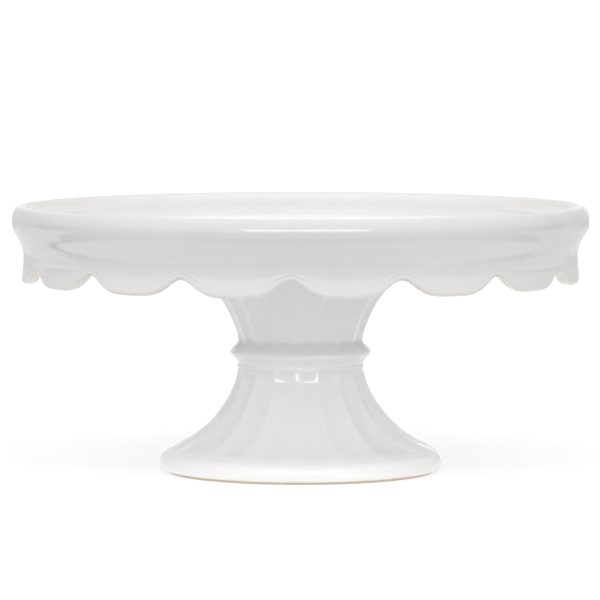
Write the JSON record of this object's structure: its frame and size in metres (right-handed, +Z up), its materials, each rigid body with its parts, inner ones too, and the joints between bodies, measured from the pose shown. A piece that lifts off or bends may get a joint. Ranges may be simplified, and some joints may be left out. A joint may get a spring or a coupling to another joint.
{
  "type": "pedestal cake stand",
  "caption": "Round glazed stoneware cake stand with a shallow rimmed plate, a scalloped skirt below it and a hollow fluted pedestal foot with a collar at its waist.",
  "frame": {"origin": "middle of the foot's underside, on the surface the stand rests on", "axes": "+Z up along the pedestal's axis, towards the plate; -Y points through a notch between two scallops"},
  "size_m": [0.306, 0.306, 0.1415],
  "materials": {
    "glazed_stoneware": "gloss",
    "slip_joint": "matte"
  },
  "bodies": {
    "root": {"plate": "glazed_stoneware", "scalloped_skirt": "glazed_stoneware", "skirt_lute": "slip_joint", "plate_lute": "slip_joint", "stem": "glazed_stoneware", "collar": "glazed_stoneware", "waist_lute": "slip_joint", "foot": "glazed_stoneware"}
  },
  "joints": []
}
